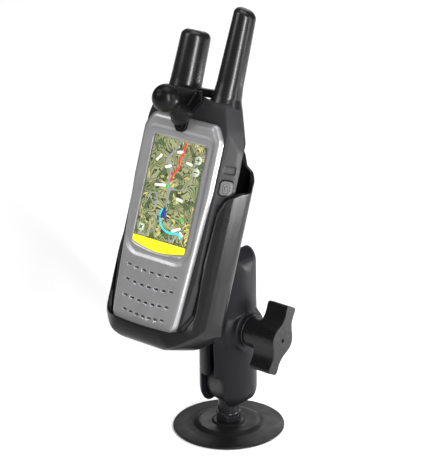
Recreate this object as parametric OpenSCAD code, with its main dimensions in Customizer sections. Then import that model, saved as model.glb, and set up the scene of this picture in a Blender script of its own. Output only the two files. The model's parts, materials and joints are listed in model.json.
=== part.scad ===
// Handheld radio and satellite navigator, held in a snap-in cradle on a double-ball arm
// with a round stick-down base.
// Frame: +Z is up, the origin is the centre of the adhesive pad's underside, and +X runs
// along the clamp bolt towards the knob. The handset faces -Y and leans back.
// The cradle and the handset are drawn in a frame of their own, with z along the handset,
// -y out of its face, and the upper ball close to its origin.

/* [Base] */
// Diameter of the flexible disc
disc_d = 63.4; // [58:0.1:70]
// Thickness of the disc at its edge
disc_edge = 1.0; // [0.8:0.1:1.6]
// Thickness of the adhesive pad
pad_t = 0.8; // [0.5:0.1:1.2]
// Diameter of the raised ring on the disc
disc_ring_d = 38; // [34:0.5:44]
// Diameter of both ball posts
post_d = 12; // [10:0.5:13]
// Width of the hexagon at the foot of the base post, across its corners
hex_d = 15; // [14:0.5:17]

/* [Balls and arm] */
// Diameter of both balls
ball_d = 25.4; // [24:0.1:26]
// Distance between the centres of the two balls
ball_pitch = 68.5; // [64:0.5:74]
// Height of the lower ball's centre
ball_low_z = 29.5; // [27:0.5:34]
// Outer diameter of the arm at its sockets
arm_d = 32.4; // [31:0.2:35]
// Length of the arm from end to end
arm_len = 97.5; // [92:0.5:98]
// Gap between the two halves of the arm
arm_gap = 5; // [4:0.5:6]
// Width of the slots that let the posts swing
slot_w = 16; // [14.5:0.5:17]
// How far the slots reach past the ball's centre towards the middle of the arm
slot_past = 6.5; // [6:0.1:8]

/* [Clamp knob] */
// Distance from the bolt's middle to the top of the arm's boss
boss_x = 16.4; // [15:0.1:18]
// Length of the knob
knob_len = 21.7; // [18:0.1:26]
// Diameter of the knob's hub
hub_d = 17.6; // [16:0.2:20]
// Distance between the tips of the knob's wings
knob_span = 39; // [34:0.5:42]
// Lean of the wings from upright
knob_turned = 27; // [0:1:45]
// Diameter of the clamp bolt
bolt_d = 6.2; // [5:0.1:6.4]

/* [Handset] */
// Lean of the handset from upright
lean = 20; // [10:1:30]
// Widest half width of the rubber body
body_hw = 30.5; // [30:0.1:31]
// Half width of the grey face at the screen
face_hw = 27; // [26:0.1:27.5]
// Height of the body's underside
body_low = -37; // [-38:0.5:-36]
// Height of the face's top edge
face_top = 81; // [80:0.5:83]
// Half width of the screen window
screen_hw = 18.4; // [17:0.1:19]
// Height of the screen window's lower edge
screen_low = 13.8; // [12:0.1:16]
// Height of the screen window's upper edge
screen_top = 68.6; // [66:0.1:70]
// Thickness of the housing walls
wall = 1.8; // [1.6:0.1:2.2]
// Travel of the side buttons
key_travel = 0.6; // [0.4:0.1:0.8]

/* [Antennas] */
// Distance of each antenna from the middle
antenna_x = 14.75; // [14.5:0.05:15]
// Radius of the short antenna at its foot
gps_r = 8.9; // [8.6:0.1:9.2]
// Height of the short antenna's top
gps_top = 127; // [120:0.5:132]
// Radius of the long antenna at its foot
radio_r = 7.4; // [7:0.1:8]
// Height of the long antenna's top
radio_top = 144.8; // [138:0.2:150]

/* [Cradle] */
// Half width of the cradle outside
cradle_hw = 33.8; // [33.6:0.1:35]
// Height of the cup's front rim
cup_rim = -32; // [-33:0.5:-30]
// Height of the underside of the cup
cup_low = -42.5; // [-43:0.1:-42.2]
// Lowering of the left wall, which leaves the talk button free
left_drop = 30; // [26:1:34]
// Half width of the clip's strap
strap_hw = 4.9; // [4:0.1:5]
// Radius of the clip's thumb ball
thumb_r = 7.6; // [6:0.1:8]

/* [Hidden] */

$fn = 64;
arc_steps = 8;       // straight steps in each rounded corner of an outline
eps = 0.01;          // lets a cutter pass through a face
far = 200;           // longer than anything in the part
free_gap = 0.3;      // space between pieces that move past each other
running_gap = 0.05;  // radial clearance of a shaft in its bore

// ---- outlines ----
function unit(v) = v / norm(v);
function xy(p) = [p[0], p[1]];
// Arc of radius r that replaces corner b between a and c
function corner_arc(a, b, c, r) =
    r <= 0 ? [b] :
    let (
        u = unit(a - b), v = unit(c - b), half = acos(u * v) / 2,
        mid = b + unit(u + v) * r / sin(half),
        s = b + u * r / tan(half) - mid, e = b + v * r / tan(half) - mid,
        from = atan2(s[1], s[0]), turn = atan2(e[1], e[0]) - from,
        sweep = turn > 180 ? turn - 360 : turn < -180 ? turn + 360 : turn
    )
    [for (i = [0:arc_steps]) mid + r * [cos(from + sweep * i / arc_steps),
                                       sin(from + sweep * i / arc_steps)]];
// Closed outline from corners [x, y, radius]
function rounded(p) = let (n = len(p)) [
    for (i = [0:n - 1])
        each corner_arc(xy(p[(i + n - 1) % n]), xy(p[i]), xy(p[(i + 1) % n]), p[i][2])
];
// Adds the left side to a list of corners that runs up the right side
function mirrored(p) = concat(p, [for (i = [len(p) - 1:-1:0]) [-p[i][0], p[i][1], p[i][2]]]);

// Slabs: an outline in x and z, in y and z, or in x and y
module front_slab(y0, y1, p)
    translate([0, y1, 0]) rotate([90, 0, 0]) linear_extrude(y1 - y0) polygon(rounded(p));
module side_slab(x0, x1, p)
    translate([x0, 0, 0]) rotate([90, 0, 90]) linear_extrude(x1 - x0) polygon(rounded(p));
module plan_slab(z0, z1, p)
    translate([0, 0, z0]) linear_extrude(z1 - z0) polygon(rounded(p));
// Round bar along x or y
module bar_x(x0, x1, r) translate([x0, 0, 0]) rotate([0, 90, 0]) cylinder(h = x1 - x0, r = r);
module bar_y(y0, y1, r) translate([0, y1, 0]) rotate([90, 0, 0]) cylinder(h = y1 - y0, r = r);

// ---- base ----
disc_r = disc_d / 2;
ring_r = disc_ring_d / 2;
disc_slope = 1.2;     // rise of the disc from its edge to the ring
ring_h = 4.2;         // height of the ring's crest above the ground
seat_r = 9.5;         // foot of the post's seat on the disc
seat_z = 4.6;
hex_top = 9.4;
post_r = post_d / 2;
post_past = 4;        // how far a post reaches past its ball's centre
ball_r = ball_d / 2;

module adhesive_pad() color("dimgray")
    cylinder(h = pad_t, r = disc_r - 1.2);

module flex_disc() color("#3c3c3e")
    rotate_extrude() polygon(rounded([
        [0, pad_t, 0], [disc_r, pad_t, 0.3], [disc_r, pad_t + disc_edge, 0.5],
        [ring_r + 1.6, pad_t + disc_edge + disc_slope, 2], [ring_r - 1.4, ring_h, 1.5],
        [ring_r - 4, ring_h, 1.5], [seat_r + 1.6, ring_h - 1.4, 1],
        [seat_r, seat_z, 0.5], [0, seat_z, 0]
    ]));

module base_post() color("#1b1b1d") {
    translate([0, 0, seat_z]) cylinder(h = hex_top - seat_z, r = hex_d / 2, $fn = 6);
    translate([0, 0, seat_z]) cylinder(h = ball_low_z + post_past - seat_z, r = post_r);
}

// Rubber-covered ball with a bore for its post, which comes in from below
module ball_jacket() difference() {
    sphere(r = ball_r);
    translate([0, 0, -ball_r]) cylinder(h = ball_r + post_past + free_gap, r = post_r + running_gap);
}

module lower_ball() color("#202022") translate([0, 0, ball_low_z]) ball_jacket();

// ---- arm ----
arm_r = arm_d / 2;
arm_mid_z = ball_low_z + ball_pitch / 2;
arm_waist = 16.6;     // radius at the middle of the arm
arm_end_r = 11;       // rounding of the arm's ends, seen from any side
arm_nose_r = 14;      // larger rounding of the ends, seen along y
socket_r = ball_r + 0.15;
boss_r = 12.2;
boss_foot_r = 16.8;
boss_foot_x = 3;
head_r = 6.35;        // bolt head, across its corners
head_h = 4;
head_x = -16.2;       // outer face of the bolt head
spring_end_x = 9;
spring_r = 4.6;       // radius of the spring's coils, at the middle of the wire
wire_r = 0.55;
slide_gap = 0.1;      // radial clearance of the bolt in the sliding half

module at_arm() translate([0, 0, arm_mid_z]) children();

module arm_outline() intersection() {
    rotate_extrude() polygon(rounded([
        [0, -arm_len / 2, 0], [arm_r, -arm_len / 2, arm_end_r], [arm_r, -ball_pitch / 4, 20],
        [arm_waist, 0, 30], [arm_r, ball_pitch / 4, 20], [arm_r, arm_len / 2, arm_end_r],
        [0, arm_len / 2, 0]
    ]));
    front_slab(-arm_r - eps, arm_r + eps, mirrored([
        [arm_r, -arm_len / 2, arm_nose_r], [arm_r, arm_len / 2, arm_nose_r]
    ]));
}

module swing_slot() intersection() {
    translate([-slot_w / 2, -arm_r - 1, -arm_len]) cube([slot_w, arm_d + 2, arm_len + slot_past]);
    rotate([90, 0, 90]) cylinder(h = far, r = arm_d, center = true);
}

// Both halves, before they are told apart
module arm_body() difference() {
    union() {
        arm_outline();
        for (s = [0, 1]) mirror([s, 0, 0]) rotate([0, 90, 0]) rotate_extrude() polygon(rounded([
            [0, boss_foot_x, 0], [boss_foot_r, boss_foot_x, 0], [boss_foot_r - 1, boss_x - 6, 2],
            [boss_r + 0.6, boss_x - 3, 3], [boss_r, boss_x, 0.8], [0, boss_x, 0]
        ]));
    }
    for (s = [-1, 1]) translate([0, 0, s * ball_pitch / 2]) sphere(r = socket_r);
    for (s = [0, 1]) mirror([0, 0, s]) translate([0, 0, -ball_pitch / 2]) swing_slot();
    bar_x(-spring_end_x, spring_end_x, spring_r + wire_r + 0.45);
}

module arm_half_left() color("#2a2a2d") at_arm() difference() {
    arm_body();
    translate([-arm_gap / 2, -far / 2, -far / 2]) cube(far);
    bar_x(-far, 0, bolt_d / 2 + slide_gap);
    translate([head_x - far, 0, 0]) rotate([0, 90, 0])
        cylinder(h = far + head_h, r = head_r + 0.05, $fn = 6);
}

module arm_half_right() color("#2a2a2d") at_arm() difference() {
    arm_body();
    translate([arm_gap / 2 - far, -far / 2, -far / 2]) cube(far);
    bar_x(0, far, bolt_d / 2 + slide_gap);
}

// ---- clamp ----
washer_t = 1.4;
washer_r = 9.6;
knob_x = boss_x + washer_t + 0.1;
knob_end = knob_x + knob_len;
wing_x = knob_x + 7.2;       // where the wings start
wing_tip_hw = 4.3;           // half width of a wing's tip
insert_r = 5;
insert_len = 16;
bolt_end = knob_x + 18;

module clamp_bolt() color("silver") at_arm() {
    translate([head_x, 0, 0]) rotate([0, 90, 0]) cylinder(h = head_h, r = head_r, $fn = 6);
    bar_x(head_x + head_h, bolt_end, bolt_d / 2);
}

// Closed tube swept along a list of points
module tube(path, r, sides = 8) {
    n = len(path);
    function along(i) = unit(path[min(i + 1, n - 1)] - path[max(i - 1, 0)]);
    rings = [for (i = [0:n - 1])
        let (t = along(i), a = unit(cross(t, [1, 0, 0])), b = cross(t, a))
        for (k = [0:sides - 1])
            path[i] + r * (a * cos(360 * k / sides) + b * sin(360 * k / sides))];
    walls = [for (i = [0:n - 2], k = [0:sides - 1])
        let (p = i * sides + k, q = i * sides + (k + 1) % sides)
        each [[p, q, q + sides], [p, q + sides, p + sides]]];
    ends = [[for (k = [sides - 1:-1:0]) k], [for (k = [0:sides - 1]) (n - 1) * sides + k]];
    polyhedron(points = rings, faces = concat(walls, ends));
}

spring_turns = 4;
spring_steps = 16;     // rings in each turn
module arm_spring() color("gainsboro") at_arm() {
    run = 2 * (spring_end_x - wire_r - running_gap);
    tube([for (i = [0:spring_turns * spring_steps])
        let (a = 360 * i / spring_steps)
        [run * (i / (spring_turns * spring_steps) - 0.5), spring_r * cos(a), spring_r * sin(a)]],
        wire_r);
}

module knob_washer() color("#111113") at_arm() difference() {
    bar_x(boss_x, boss_x + washer_t, washer_r);
    bar_x(0, far, bolt_d / 2 + 0.2);
}

module clamp_knob() color("#1d1d1f") at_arm() difference() {
    union() {
        bar_x(knob_x, knob_end, hub_d / 2);
        rotate([-knob_turned, 0, 0]) side_slab(wing_x, knob_end, [
            for (s = [1, -1]) each [
                [s * wing_tip_hw, s * knob_span / 2, 1.8],
                [s * 3.4, s * 11, 9],
                [s * (hub_d / 2 + 1.2), 0, 6.5],
                [s * 3.4, -s * 11, 9],
                [s * wing_tip_hw, -s * knob_span / 2, 1.8]
            ]
        ]);
    }
    bar_x(knob_x - 1, knob_x + insert_len, insert_r);
    bar_x(knob_x, bolt_end + 1, bolt_d / 2 + free_gap);
    bar_x(0, far, 1);
}

module knob_insert() color("goldenrod") at_arm() difference() {
    bar_x(knob_x, knob_x + insert_len, insert_r);
    bar_x(0, far, bolt_d / 2 + running_gap);
}

// ---- cradle frame ----
ball_high_z = ball_low_z + ball_pitch;
// Place of the upper ball's centre in the cradle's frame
ball_at = [0, -0.9, 2.4];
module on_cradle() translate([0, 0, ball_high_z]) rotate([-lean, 0, 0]) translate(-ball_at) children();

back_y = -29;          // rear face of the cradle
back_t = 3;
plate_t = 2.6;
plate_half_h = 31;
plate_half_w = 16.6;
screw_pitch = 48.6;
screw_r = 2;
screw_hole_r = 2.15;
nut_h = 3;
nut_r = 4.2;
plate_rear = back_y + plate_t;

module upper_ball() color("#202022") on_cradle() translate(ball_at) rotate([90, 0, 0])
    mirror([0, 0, 1]) ball_jacket();

module at_plate_screws() for (s = [-1, 1]) translate([0, 0, ball_at[2] + s * screw_pitch / 2])
    children();

module ball_plate() color("#2a2a2d") on_cradle() difference() {
    union() {
        translate([0, 0, ball_at[2]]) front_slab(back_y, plate_rear, [
            [0, -plate_half_h, 8], [plate_half_w, 0, 14], [0, plate_half_h, 8], [-plate_half_w, 0, 14]
        ]);
        translate([0, 0, ball_at[2]]) bar_y(plate_rear - eps, ball_at[1] + post_past, post_r);
        translate([0, plate_rear, ball_at[2]]) rotate([-90, 0, 0]) cylinder(h = 5, r1 = 9.5, r2 = 7);
    }
    at_plate_screws() bar_y(-far, far, screw_hole_r);
}

module plate_screws() color("silver") on_cradle() at_plate_screws() {
    bar_y(back_y - back_t + 0.3, back_y - back_t + 1.6, 3.4);
    bar_y(back_y - back_t + 1, plate_rear + nut_h + 1, screw_r);
}

module plate_nuts() color("silver") on_cradle() at_plate_screws() difference() {
    translate([0, plate_rear, 0]) rotate([-90, 0, 0]) cylinder(h = nut_h, r = nut_r, $fn = 6);
    bar_y(-far, far, screw_r + eps);
}

// ---- cradle ----
inner_hw = cradle_hw - 2.5;
cup_front = -68.3;
cup_wall = 2.4;        // thickness of the cup's front
cup_floor = cup_low + 5;
wall_plan_r = 20;      // rounding of the walls' front, seen from above
cup_plan_r = 24;       // the same at the underside of the cup
cup_face_r = 20;       // rounding of the cup's underside, seen from the front
back_plan_r = 13;      // rounding of the cradle's rear corners, seen from above
pin_at = [0, -37.5, 94];
knuckle_r = 2.8;
pin_r = 1;
tab_hw = 1.9;          // half width of the clip's knuckle

// Side view of a wall: it rises from the cup's front rim to the back
function wall_side(drop) = [
    [back_y, cup_low, 15], [back_y, 49.5 - drop, 0.5], [-36, 49.5 - drop, 4],
    [-47, 47.8 - drop, 10], [-56, 44 - drop, 6], [-59.5, 35 - drop, 12],
    [-60.6, 9 - drop / 2, 30], [-59.4, -20, 8], [-63.5, -30.2, 6], [cup_front, cup_rim, 0.6],
    [cup_front, cup_low, 9]
];
// Plan of the cradle, and of the space inside it
cradle_plan = mirrored([[cradle_hw, cup_front, wall_plan_r], [cradle_hw, back_y, back_plan_r]]);
pocket_plan = mirrored([
    [27.3, cup_front + cup_wall, 1.5], [30.8, -52, 6], [inner_hw, -47, 2],
    [inner_hw, back_y - back_t, back_plan_r - 2.5]
]);

// Cuts the cup's front corners rounder towards its underside
module cup_taper() for (s = [0, 1]) mirror([s, 0, 0])
    translate([cradle_hw - cup_plan_r, cup_front + cup_plan_r, cup_low])
        rotate([0, 0, -foot_turn]) rotate([0, foot_tilt, 0]) rotate([0, 0, foot_turn]) difference() {
            translate([0, -far, -far / 2]) cube(far);
            cylinder(h = 2 * far, r = cup_plan_r, center = true);
        }

module cradle_walls() intersection() {
    front_slab(cup_front - 1, back_y, mirrored([
        [cradle_hw, cup_low, cup_face_r], [cradle_hw, far, 0]
    ]));
    union() {
        side_slab(0, cradle_hw, wall_side(0));
        side_slab(-cradle_hw, 0, wall_side(left_drop));
    }
    plan_slab(cup_low - 1, far, cradle_plan);
}

module cradle_back() intersection() {
    front_slab(back_y - 8, back_y, mirrored([
        [cradle_hw, cup_low, cup_face_r], [cradle_hw, 52, 3], [26, 59.5, 4], [20.5, 62, 2], [17.5, 68, 6],
        [strap_hw + 0.3, 79, 6], [strap_hw + 0.3, 84, 0]
    ]));
    plan_slab(cup_low - 1, far, cradle_plan);
}

module cradle_tongue() {
    side_slab(-strap_hw - 0.3, strap_hw + 0.3, [
        [back_y - back_t, 58, 0], [back_y, 58, 0], [back_y, 80, 9],
        [pin_at[1] + knuckle_r, pin_at[2] + 0.8, 0], [pin_at[1] - 1.6, pin_at[2] - 2.4, 0.5],
        [-34.6, 83, 4], [back_y - back_t, 74, 5]
    ]);
    translate(pin_at) bar_x(-strap_hw - 0.3, strap_hw + 0.3, knuckle_r);
}

// Space for the handset, open at the top
module cradle_pocket() difference() {
    intersection() {
        front_slab(cup_front, back_y - back_t, mirrored([
            [inner_hw, cup_floor, cup_face_r - 4], [inner_hw, far, 0]
        ]));
        plan_slab(cup_floor - 1, far, pocket_plan);
    }
    foot_trim(0.4);
}

module cradle_shell() color("#1a1a1c") on_cradle() difference() {
    union() {
        difference() {
            union() {
                cradle_walls();
                cradle_back();
            }
            cradle_pocket();
            cup_taper();
            translate([-inner_hw, cup_front - 1, cup_rim]) cube([2 * inner_hw, cup_wall + 1.5, far]);
        }
        cradle_tongue();
    }
    // Slot in the tongue for the clip's knuckle
    translate(pin_at) bar_x(-tab_hw - free_gap, tab_hw + free_gap, knuckle_r + free_gap);
    translate([-tab_hw - free_gap, pin_at[1] - 8, pin_at[2]]) cube([2 * (tab_hw + free_gap), 16, 6]);
    translate(pin_at) bar_x(-far, far, pin_r);
    at_plate_screws() {
        bar_y(-far, far, screw_hole_r);
        bar_y(back_y - back_t - 1, back_y - back_t + 1.7, 3.6);
    }
}

module clip_pin() color("silver") on_cradle() translate(pin_at)
    bar_x(-strap_hw - 0.3, strap_hw + 0.3, pin_r);

// ---- release clip ----
strap_top = 97.8;
strap_t = 4.3;
shield_y = -67.6;      // front of the clip's plate, which hangs before the face
shield_t = 2;
thumb_at = [0, -83.4, 89.5];
stalk_slant = 32;
stalk_len = 23;
stalk_r = 4.8;

module release_clip() color("#1a1a1c") on_cradle() {
    difference() {
        union() {
            translate(pin_at) bar_x(-tab_hw, tab_hw, knuckle_r);
            side_slab(-tab_hw, tab_hw, [
                [pin_at[1] + 2, pin_at[2] + 1.5, 0.5], [pin_at[1] + 1, strap_top, 1.5],
                [-43, strap_top, 0], [-43, strap_top - strap_t, 0], [pin_at[1] - 2.4, pin_at[2] - 1, 0.5]
            ]);
        }
        translate(pin_at) bar_x(-far, far, pin_r + running_gap);
    }
    // Strap between the antennas, down to the plate
    side_slab(-strap_hw, strap_hw, [
        [-41.5, strap_top - strap_t, 0.5], [-41.5, strap_top, 0.5], [shield_y, strap_top, 2.5],
        [shield_y, 90, 0], [shield_y + shield_t, 90, 0], [shield_y + shield_t, strap_top - strap_t, 1]
    ]);
    // Plate with a pointed foot and a small eye
    difference() {
        front_slab(shield_y, shield_y + shield_t, mirrored([
            [2, 73, 1.6], [4, 75.4, 1.5], [4.4, 83, 8], [11, 91.5, 1], [9, 96.4, 2]
        ]));
        translate([0, 0, 76.4]) bar_y(-far, far, 1.4);
    }
    // Raised shield on the plate
    front_slab(shield_y - 2.2, shield_y + 1, mirrored([[1.4, 83.4, 1], [8.2, 96.8, 2]]));
    // Thumb ball on a stalk that slants down to the plate's foot
    translate(thumb_at) sphere(r = thumb_r);
    difference() {
        translate(thumb_at) rotate([-90 - stalk_slant, 0, 0])
            cylinder(h = stalk_len, r1 = stalk_r, r2 = stalk_r + 0.8);
        translate([-far / 2, shield_y + shield_t / 2, 0]) cube(far);
    }
}

// ---- handset ----
face_y = -65.2;        // front of the grey face
face_t = 3.4;
tray_depth = 0.7;      // recess of the screen below the face
housing_y = face_y + face_t;
split_y = -46.5;       // joint between the front and rear housings
gasket_t = 0.6;
rear_y = -32.3;
saddle_z = 91.5;       // top of the body between the antennas
root_z = 93;           // where the antennas start
antenna_y = -51.6;

body_corners = [
    [27, body_low, 11], [29.4, -12, 40], [body_hw, 24, 60], [body_hw, 69, 9], [27.6, 80, 8],
    [22.6, root_z, 1], [antenna_x - 9.3, root_z, 1.5], [3.6, saddle_z, 2],
    [-3.6, saddle_z, 2], [9.3 - antenna_x, root_z, 1.5], [-24.2, root_z, 2], [-27.6, 80, 8],
    [-body_hw, 69, 9], [-body_hw, 24, 60], [-29.4, -12, 40], [-27, body_low, 11]
];
cavity_corners = mirrored([
    [25, body_low + wall + 1.4, 9], [body_hw - wall - 1.6, 20, 20],
    [body_hw - wall - 1.6, 70, 8], [22, 82, 6]
]);
face_corners = mirrored([
    [20.5, -35.5, 7], [22.6, -28, 10], [26, 30, 40], [face_hw, 45, 40], [face_hw, 73, 6],
    [22, face_top, 5]
]);

// The front narrows towards the foot, where the cup wraps round it
foot_half = 57.7;      // distance from the handset's middle plane line to the trimmed corner
foot_turn = 40;
foot_tilt = 5.5;
module foot_trim(space = 0) for (s = [0, 1]) mirror([s, 0, 0]) rotate([0, 0, -foot_turn])
    translate([foot_half + space, 0, body_low + 4]) rotate([0, foot_tilt, 0])
        translate([0, -far / 2, -far / 2]) cube(far);

// The shoulders are cut away behind the antennas
shoulder_at = -13.2;   // distance from the handset's middle plane line to the cut at the top
shoulder_tilt = 17;
module shoulder_trim() for (s = [0, 1]) mirror([s, 0, 0]) rotate([0, 0, foot_turn])
    translate([shoulder_at, 0, root_z]) rotate([0, -shoulder_tilt, 0])
        translate([0, -far / 2, -far / 2]) cube(far);

module handset_form(y0, y1) difference() {
    handset_block(y0, y1);
    foot_trim();
    shoulder_trim();
}

module handset_block(y0, y1) intersection() {
    front_slab(y0, y1, body_corners);
    plan_slab(body_low - 1, root_z + 1, mirrored([
        [28, housing_y, 1.5], [body_hw, -52, 6], [body_hw, -47.8, 3], [20.5, -37, 8],
        [12, rear_y, 10]
    ]));
    side_slab(-body_hw - 1, body_hw + 1, [
        [housing_y, body_low, 4], [rear_y, body_low, 6], [rear_y, 70, 14],
        [-42, root_z, 1], [housing_y, root_z, 3]
    ]);
}

// Side buttons: their frame lies on the flank, with x pointing out of it
flank = 12;
key_y = -55.7;
key_x = 29.45;
key_depth = 8.6;       // size of a button from front to back
module on_flank(side, z) mirror([side < 0 ? 1 : 0, 0, 0])
    translate([key_x, key_y, z]) rotate([0, 0, -flank]) children();
// Each button: side, height and length
power_key = [1, 49.4, 8];
talk_key = [-1, 34, 22];
call_key = [-1, 58, 8];
keys = [power_key, talk_key, call_key];
key_proud = 0.7;
lip = 0.9;             // how far a button's flange reaches past its hole

module key_cap(key) on_flank(key[0], key[1]) {
    translate([-wall - 0.5, 0, 0]) side_slab(0, wall + 0.5 + key_proud, [
        for (c = [[-1, -1], [1, -1], [1, 1], [-1, 1]]) [c[0] * key_depth / 2, c[1] * key[2] / 2, 2]
    ]);
    translate([-wall - 1.2, -key_depth / 2 - lip, -key[2] / 2 - lip])
        cube([0.8, key_depth + 2 * lip, key[2] + 2 * lip]);
}

module key_hole(key) on_flank(key[0], key[1]) {
    side_slab(-5, 3, [
        for (c = [[-1, -1], [1, -1], [1, 1], [-1, 1]])
            [c[0] * (key_depth / 2 + free_gap), c[1] * (key[2] / 2 + free_gap), 2]
    ]);
    translate([-8 - wall + 0.4, -key_depth / 2 - 2 * lip, -key[2] / 2 - 2 * lip])
        cube([8 - 0.5, key_depth + 4 * lip, key[2] + 4 * lip]);
}

// Finger notches along both flanks
notch_pitch = 16.7;
module flank_notches() for (side = [-1, 1], i = [0:4])
    on_flank(side, -12 + i * notch_pitch + (i > 3 ? 4.2 : 0))
        translate([-0.7, -3.6, -2]) cube([3, 8, 4]);

slot_rows = [[-3.5, 17.7], [-11.5, 17], [-20, 16], [-27.5, 14.6]];   // height, half width
slot_len = 3;
slot_h = 1;
module at_slots() for (row = slot_rows, i = [-3:3])
    translate([i * (row[1] - slot_len / 2) / 3, 0, row[0] + 0.12 * i * i])
        rotate([0, -4 * i / 3, 0]) children();

module screen_window(grow, y0, y1) front_slab(y0, y1, mirrored([
    [screen_hw + grow, screen_low - grow, 0], [screen_hw + grow, screen_top + grow, 1]
]));
module strip_outline(grow, y0, y1) front_slab(y0, y1, [
    [screen_hw + grow, screen_low, 0], [screen_hw + grow, 10.3 - grow, 1.4], [0, 6.8 - grow, 45],
    [-screen_hw - grow, 10.3 - grow, 1.4], [-screen_hw - grow, screen_low, 0]
]);

module face_bezel() color("#86888c") on_cradle() difference() {
    front_slab(face_y, housing_y, face_corners);
    foot_trim();
    front_slab(face_y - 1, face_y + tray_depth, mirrored([[21.6, 4.8, 9], [21.6, 72, 3]]));
    screen_window(0.1, face_y - 1, housing_y + 1);
    strip_outline(0.1, face_y - 1, face_y + tray_depth + 1);
    at_slots() translate([-slot_len / 2, face_y - 1, -slot_h / 2]) cube([slot_len, 3.2, slot_h]);
    for (row = [1, 2], i = [-2:2])
        translate([i * (slot_rows[row][1] - slot_len / 2) / 3, 0, slot_rows[row][0] + 0.12 * i * i])
            rotate([0, -4 * i / 3, 0])
                translate([-slot_len / 2, face_y - 1, -slot_h / 2]) cube([slot_len, far, slot_h]);
}

module name_strip() color("gold") on_cradle()
    strip_outline(0, face_y + tray_depth - 0.1, face_y + tray_depth + 1);

module screen_lens() color("lightblue", 0.5) on_cradle()
    screen_window(0, face_y + tray_depth, face_y + tray_depth + 1);

module display_panel() color("olivedrab") on_cradle()
    screen_window(-0.2, face_y + tray_depth + 1.1, housing_y + wall);

speaker_at = [0, housing_y + wall, -16];
speaker_r = 11;
mic_at = [0, housing_y + wall, -31];

module housing_cavity(y0, y1) front_slab(y0, y1, cavity_corners);

screw_spots = [[12, -32.5], [-12, -32.5], [14.5, 74], [-14.5, 74]];
boss_screw_r = 1.1;
module at_housing_screws() for (s = screw_spots) translate([s[0], 0, s[1]]) children();

module front_housing() color("#38383a") on_cradle() difference() {
    union() {
        difference() {
            handset_form(housing_y, split_y - gasket_t / 2);
            housing_cavity(housing_y + wall, split_y);
        }
        at_housing_screws() bar_y(housing_y + wall - eps, split_y - gasket_t / 2, 3);
    }
    screen_window(0.1, housing_y - 1, housing_y + wall + 1);
    translate([0, 0, speaker_at[2]]) bar_y(housing_y - 1, housing_y + wall + 1, speaker_r - 2);
    translate([0, 0, mic_at[2]]) bar_y(housing_y - 1, housing_y + wall + 1, 0.8);
    at_housing_screws() bar_y(split_y - 9, far, boss_screw_r);
    for (k = keys) key_hole(k);
    flank_notches();
}

module housing_gasket() color("#55555a") on_cradle() difference() {
    handset_form(split_y - gasket_t / 2, split_y + gasket_t / 2);
    front_slab(split_y - 1, split_y + 1, cavity_corners);
    at_housing_screws() bar_y(-far, far, boss_screw_r + 0.2);
}

cap_size = [10, 1.4, 8];
cap_x = -10.7;
cap_lean = 20;          // slope of the handset's shoulder behind the cap
cap_hinge = [cap_x, -38.1, 86.3];
cap_r = 0.9;
port_size = [8, 6, 3.4];

module at_cap() translate(cap_hinge) rotate([cap_lean, 0, 0]) children();

module rear_housing() color("#343436") on_cradle() difference() {
    union() {
        difference() {
            handset_form(split_y + gasket_t / 2, rear_y);
            front_slab(split_y, rear_y - wall - 4.4, mirrored([
                [19.5, body_low + wall + 1.4, 7], [19.5, 70, 6]
            ]));
        }
        intersection() {
            at_housing_screws() bar_y(split_y + gasket_t / 2, rear_y - 1, 3);
            handset_form(split_y + gasket_t / 2, rear_y);
        }
    }
    // Bay that the battery fills from behind
    front_slab(-far, far, mirrored([[16.8, -29.3, 2], [16.8, 45.3, 2]]));
    at_housing_screws() {
        bar_y(split_y, far, boss_screw_r + 0.2);
        bar_y(rear_y - 4.5, far, 2.3);
    }
    at_cap() {
        translate([-cap_size[0] / 2 - free_gap, -cap_size[1] - 0.4, -cap_size[2] - free_gap])
            cube([cap_size[0] + 2 * free_gap, 6, cap_size[2] + 2 * free_gap + cap_r + 1]);
        translate([-port_size[0] / 2, -9, -6.2]) cube([port_size[0], 9, port_size[2]]);
    }
}

module housing_screws() color("silver") on_cradle() at_housing_screws() {
    bar_y(split_y - 8, rear_y - 4, boss_screw_r - 0.02);
    bar_y(rear_y - 4.5, rear_y - 3, 2.1);
}

board_y = -54;
module main_board() color("darkgreen") on_cradle() difference() {
    front_slab(board_y, board_y + 1.6, mirrored([
        [19, -29, 2], [19, -20, 0], [23.5, -16, 2], [23.5, 64, 2], [18, 70, 2]
    ]));
    for (s = [-1, 1], z = [-24, 66]) translate([s * 15, 0, z]) bar_y(-far, far, 1);
}

module board_screws() color("silver") on_cradle() for (s = [-1, 1], z = [-24, 66])
    translate([s * 15, 0, z]) {
        bar_y(board_y, board_y + 1.6, 1);
        bar_y(board_y + 1.6, board_y + 2.6, 1.9);
    }

module speaker() color("#222224") on_cradle() translate(speaker_at) {
    bar_y(0, 2, speaker_r);
    bar_y(2, 4.6, speaker_r * 0.6);
}

module microphone() color("silver") on_cradle() translate(mic_at) bar_y(0, 2, 2);

module battery_pack() color("#2c2c2e") on_cradle() intersection() {
    front_slab(split_y + 1.6, rear_y, mirrored([[16.5, -29, 2], [16.5, 45, 2]]));
    handset_form(split_y, rear_y);
}

module battery_contacts() color("goldenrod") on_cradle() for (s = [-1, 0, 1])
    translate([s * 4 - 1, board_y + 1.6, 40]) cube([2, split_y + 1.6 - board_y - 1.6, 2]);

module data_port() color("silver") on_cradle() at_cap()
    translate([-port_size[0] / 2 + 0.1, -8.4, -6.1]) difference() {
        cube([port_size[0] - 0.2, 6, port_size[2] - 0.2]);
        translate([0.6, 1.5, 0.6]) cube([port_size[0] - 1.4, 6, port_size[2] - 1.4]);
    }

module port_cap() color("#2c2c2e") on_cradle() at_cap() {
    bar_x(-cap_size[0] / 2, cap_size[0] / 2, cap_r);
    translate([-cap_size[0] / 2, -cap_size[1] / 2, -cap_size[2]]) cube(cap_size);
}

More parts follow.
